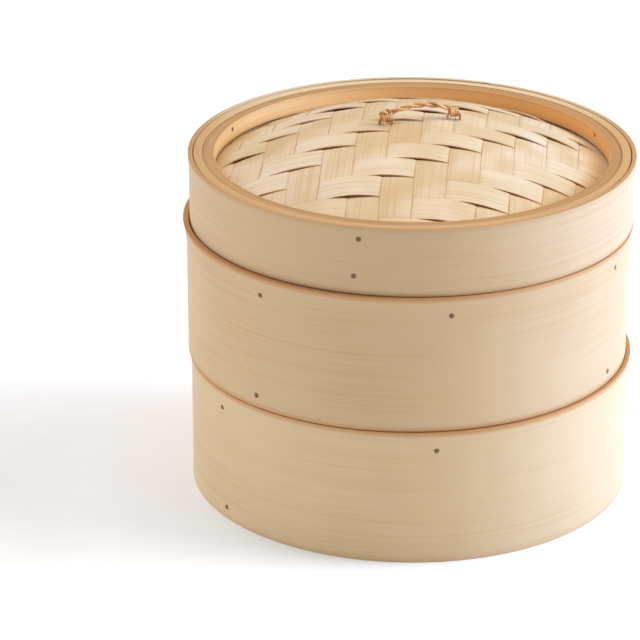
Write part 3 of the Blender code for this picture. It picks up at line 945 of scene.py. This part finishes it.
def lining_sheet():
    """A domed sheet with a flat clamped rim."""
    bm = bmesh.new()
    drop = dome_high.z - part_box("lid_lining")[1].z - STRIP_THICKNESS
    radii = [clamp_radius * step / LINING_STEPS for step in range(LINING_STEPS + 1)]
    line = [bm.verts.new((radius, 0.0, dome_level(radius) - drop)) for radius in radii]
    edges = [bm.edges.new(pair) for pair in zip(line, line[1:])]
    spin_up(bm, line + edges, TURN_STEPS)
    bmesh.ops.remove_doubles(bm, verts=bm.verts, dist=TINY)
    bmesh.ops.recalc_face_normals(bm, faces=bm.faces)
    bmesh.ops.solidify(bm, geom=bm.faces[:], thickness=LINING_THICKNESS)
    bmesh.ops.recalc_face_normals(bm, faces=bm.faces)
    return bm


lining_bamboo = bamboo(
    "lining_bamboo_grain", srgb(238, 184, 116), srgb(220, 158, 92), srgb(190, 132, 76), axis="X"
)
keep("lid_lining_sheet", lining_sheet(), lining_bamboo, "lid", ["lid_lining"])
print("lining under the weave")

# %% [markdown]
# ## The handle
#
# One length of split rattan is doubled and twisted into a low loop. At each foot it turns round a
# tie, a short staple of rattan through the weave, so the loop can rock. A twisted pair is two
# helices round one centre line; the turn at each foot is a short coil; a knot is a trefoil.

# %% Rattan paths
handle_joint = next(joint for joint in frame["joints"] if joint["name"] == "handle_tilt")
HINGE = Vector(handle_joint["pos_m"])
ALONG = Vector(handle_joint["axis"]).normalized()
UP = Vector((0.0, 0.0, 1.0))
ASIDE = UP.cross(ALONG)
left_foot = 0.5 * sum(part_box("handle_tie_left"), Vector())
right_foot = 0.5 * sum(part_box("handle_tie_right"), Vector())
half_span = 0.5 * (right_foot - left_foot).xy.length
print("handle spans", round(2.0 * half_span / MM, 1), "mm between its feet")


def at_hinge(along, aside, up):
    """A point given along, across and above the hinge line."""
    return HINGE + ALONG * along + ASIDE * aside + UP * up


def rattan_rod(name, points, radius, taper=0.0):
    """A mesh rod through smooth points, its last stretch tapered to about a third."""
    curve = bpy.data.curves.new(name, "CURVE")
    curve.dimensions = "3D"
    curve.bevel_depth = radius
    curve.bevel_resolution = 3
    curve.use_fill_caps = True
    spline = curve.splines.new("POLY")
    spline.points.add(len(points) - 1)
    for number, (point, place) in enumerate(zip(spline.points, points)):
        point.co = (*place, 1.0)
        to_go = (len(points) - 1 - number) / max(1.0, taper * len(points))
        point.radius = 1.0 if taper == 0.0 else min(1.0, 0.35 + 0.65 * to_go)
    rod = bpy.data.objects.new(name + "_line", curve)
    bpy.context.scene.collection.objects.link(rod)
    graph = bpy.context.evaluated_depsgraph_get()
    mesh = bpy.data.meshes.new_from_object(rod.evaluated_get(graph))
    bpy.data.objects.remove(rod)
    mesh.name = name
    return mesh


RATTAN_BUMP = 0.1 * MM


def rattan_finish():
    """Split rattan: orange-brown, with pale and dark lengths."""
    finish = Finish("rattan_fibre")
    fine = finish.noise(finish.stretched((900.0, 2600.0, 2600.0)), 3.0)
    slow = finish.noise(finish.stretched((160.0, 220.0, 220.0)), 2.0)
    base = finish.ramp(
        slow, [(0.3, srgb(168, 110, 62)), (0.5, srgb(212, 156, 98)), (0.7, srgb(230, 184, 128))]
    )
    lined = finish.mix(finish.between(fine, 0.5, 0.7) * 0.4, base, srgb(158, 104, 60))
    return finish.wear(lined, 0.42 + fine * 0.25, finish.bump(fine, RATTAN_BUMP))


rattan = rattan_finish()

# %% [markdown]
# The two strands draw together at the feet, where they turn round the ties, and the pair rises
# in a shallow bow between them.

# %% Loop, bindings, knot and ties
STRAND_RADIUS = 0.75 * MM
STRAND_STEPS = 90
TWIST_RADIUS = 0.62 * MM
TWISTS = 2.5
BOW_LOW = 1.5 * MM
BOW_RISE = 3.5 * MM
THIN_RADIUS = 0.6 * MM
COIL_TURNS = 4.0
COIL_STEPS = 72
COIL_RADIUS = 1.5 * MM
COIL_WIDTH = 4.0 * MM
COIL_LIFT = 0.3 * MM
KNOT_STEPS = 72
KNOT_SIZE = 2.6 * MM
KNOT_LIFT = 1.7 * MM
KNOT_RADIUS = 0.62 * MM
TIE_HALF = 3.0 * MM
TIE_BEND = 1.0 * MM
TAIL_STEPS = 12
TAIL_LENGTH = 7.0 * MM


def bow(share):
    """Centre line of the pair, with share from -1 at the left foot to 1 at the right."""
    return at_hinge(share * half_span, 0.0, BOW_LOW + BOW_RISE * (1.0 - share**2))


def strand(phase):
    """One of the two twisted strands."""
    points = []
    for step in range(STRAND_STEPS + 1):
        share = 2.0 * step / STRAND_STEPS - 1.0
        angle = TWISTS * math.pi * (share + 1.0) + phase
        swell = TWIST_RADIUS * (0.55 + 0.45 * smooth((1.0 - abs(share)) / 0.2))
        offset = ASIDE * (swell * math.cos(angle)) + UP * (swell * math.sin(angle))
        points.append(bow(share) + offset)
    return points


def binding(foot):
    """A short coil round the hinge line at a foot."""
    points = []
    for step in range(COIL_STEPS + 1):
        share = step / COIL_STEPS
        angle = 2.0 * math.pi * COIL_TURNS * share
        along = foot + COIL_WIDTH * (share - 0.5)
        up = COIL_RADIUS * math.sin(angle) * 1.1 + COIL_LIFT
        points.append(at_hinge(along, COIL_RADIUS * math.cos(angle), up))
    return points


def trefoil(foot):
    """A knotted lump of the strand's end."""
    points = []
    for step in range(KNOT_STEPS + 1):
        angle = 2.0 * math.pi * step / KNOT_STEPS
        along = KNOT_SIZE * (math.sin(angle) + 2.0 * math.sin(2.0 * angle)) / 3.0
        up = KNOT_SIZE * (math.cos(angle) - 2.0 * math.cos(2.0 * angle)) / 3.0
        aside = -KNOT_SIZE * math.sin(3.0 * angle) / 2.2
        points.append(at_hinge(foot + along, aside, KNOT_LIFT + up))
    return points


def tie(foot, depth):
    """A staple through the weave."""
    right = [(TIE_HALF, -depth)]
    for angle in (0.0, 0.4, 0.8, 1.2, 0.5 * math.pi):
        along = TIE_HALF - TIE_BEND + TIE_BEND * math.cos(angle)
        right.append((along, TIE_BEND * (math.sin(angle) - 1.0)))
    left = [(-x, z) for x, z in reversed(right)]
    return [at_hinge(foot + x, 0.0, z) for x, z in right + left]


def tie_tail():
    """The cut end of the left tie, which lies forward over the weave."""
    points = []
    for step in range(TAIL_STEPS + 1):
        share = step / TAIL_STEPS
        along = -half_span - 2.0 * MM + 1.2 * MM * share
        spot = at_hinge(along, -TAIL_LENGTH * share, 0.0)
        above = 1.7 * MM + 0.5 * MM * (1.0 - share) ** 2
        spot.z = dome_level((spot.xy - lid_hoop[0]).length) + above
        points.append(spot)
    return points


def keep_rod(name, points, radius, body, node, taper=0.0):
    """Make a rod of rattan and keep it as a piece."""
    keep_mesh(name, rattan_rod(name, points, radius, taper), rattan, body, [node])


for letter, phase in (("a", 0.0), ("b", math.pi)):
    keep_rod("handle_strand_" + letter, strand(phase), STRAND_RADIUS, "handle", "handle_loop")
for word, foot in (("left", -half_span), ("right", half_span)):
    keep_rod("handle_binding_" + word, binding(foot), THIN_RADIUS, "handle", "handle_loop")
    node = "handle_tie_" + word
    depth = HINGE.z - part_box(node)[0].z
    keep_rod("handle_staple_" + word, tie(foot, depth), THIN_RADIUS, "lid", node)
keep_rod("handle_tie_tail", tie_tail(), THIN_RADIUS, "lid", "handle_tie_left", 0.5)
knot_points = trefoil(-half_span - 0.3 * MM)
keep_rod("handle_knot", knot_points, KNOT_RADIUS, "handle", "handle_loop")
print("handle of two strands, two bindings, a knot and two ties")

# %% [markdown]
# ## The studio
#
# A pale floor runs out of sight. The sky isn't one even dome: it is two soft lobes of light, a
# strong one from the left and a weak one from the right, and each fades with the angle from its
# middle. That keeps the front of the steamer a shade darker than its sides. Five soft boxes do the
# rest. Those on the right are the key and throw the faint shadow to the left, each at its own
# height and colour, since light from a window and from a wall beside it differ. One hangs above.

# %% Floor, sky and lamps
FLOOR_RADIUS = 12.0
FLOOR_BUMP = 0.01 * MM
LOBE_POWER = 1.5
# Direction of the middle, colour.
LOBES = (
    ((-0.95, 0.1, 0.28), (1.95, 2.08, 2.21)),
    ((0.96, 0.0, 0.28), (0.30, 0.45, 0.55)),
)
LAMP_SIZE = 0.8
AIM = Vector((0.0, 0.0, 0.08))
# Name, place, power in watts, colour.
LAMPS = (
    ("key", (1.5, -0.15, 0.9), 18.0, (0.85, 0.92, 0.92)),
    ("key_low", (1.7, 0.3, 0.35), 47.0, (0.23, 0.47, 1.0)),
    ("key_high", (1.0, 0.2, 1.4), 8.0, (1.0, 0.66, 0.25)),
    ("key_front", (1.2, -0.8, 0.9), 1.5, (1.0, 0.6, 0.5)),
    ("top", (0.0, 0.2, 1.7), 8.0, (1.0, 0.82, 0.7)),
)


def floor_finish():
    """Plain white paper."""
    finish = Finish("paper_floor")
    grain = finish.noise(finish.stretched((40.0, 40.0, 40.0)), 2.0)
    colour = finish.ramp(grain, [(0.3, srgb(249, 249, 249)), (0.7, srgb(252, 252, 252))])
    return finish.wear(colour, 0.9, finish.bump(grain, FLOOR_BUMP), 0.1)


def lay_floor():
    """A wide disc under the steamer."""
    bm = bmesh.new()
    bmesh.ops.create_circle(bm, cap_ends=True, segments=96, radius=FLOOR_RADIUS)
    mesh = bpy.data.meshes.new("floor")
    bm.to_mesh(mesh)
    bm.free()
    mesh.materials.append(floor_finish())
    floor = bpy.data.objects.new("floor", mesh)
    bpy.context.scene.collection.objects.link(floor)


def make_sky():
    """A sky that is the sum of the lobes."""
    world = bpy.data.worlds.new("studio_sky")
    bpy.context.scene.world = world
    world.use_nodes = True
    sky = Graph(world.node_tree)
    direction = sky.make("ShaderNodeTexCoord", {}, {}, "Generated")
    total = (0.0, 0.0, 0.0)
    for middle, colour in LOBES:
        facing = sky.vector("DOT_PRODUCT", direction, middle, "Value")
        soft = facing.math("MAXIMUM", facing, 0.0) ** LOBE_POWER
        tinted = sky.make(
            "ShaderNodeVectorMath", {"operation": "SCALE"}, {0: colour, "Scale": soft}
        )
        total = sky.vector("ADD", total, tinted)
    background = world.node_tree.nodes["Background"]
    sky.feed(background.inputs["Color"], total)
    background.inputs["Strength"].default_value = 1.0


def hang_lamp(name, place, power, colour):
    """A square soft box that faces the steamer."""
    data = bpy.data.lights.new(name, "AREA")
    data.shape = "SQUARE"
    data.size = LAMP_SIZE
    data.energy = power
    data.color = colour
    lamp = bpy.data.objects.new(name, data)
    lamp.location = place
    lamp.rotation_mode = "QUATERNION"
    lamp.rotation_quaternion = (AIM - Vector(place)).to_track_quat("-Z", "Y")
    bpy.context.scene.collection.objects.link(lamp)


lay_floor()
make_sky()
for lamp in LAMPS:
    hang_lamp(*lamp)
bpy.context.scene.view_settings.view_transform = "Standard"
print("a floor, a sky of", len(LOBES), "lobes and", len(LAMPS), "lamps")

# %% [markdown]
# ## The camera
#
# A long lens stands in front and well above the lid, so the rims show as flat ellipses and the
# upright walls hardly lean together.

# %% Camera
LENS = 191.4
SENSOR_WIDTH = 36.0
CAMERA_PLACE = Vector((0.0, -1.4353, 0.6771))
CAMERA_VIEW = Vector((-0.02644, 0.92135, -0.38784))
camera_data = bpy.data.cameras.new("camera")
camera_data.lens = LENS
camera_data.sensor_width = SENSOR_WIDTH
camera_data.clip_end = 100.0
camera = bpy.data.objects.new("camera", camera_data)
camera.location = CAMERA_PLACE
camera.rotation_mode = "QUATERNION"
camera.rotation_quaternion = CAMERA_VIEW.to_track_quat("-Z", "Y")
bpy.context.scene.collection.objects.link(camera)
bpy.context.scene.camera = camera
print("camera", round((CAMERA_PLACE - AIM).length, 3), "m away")
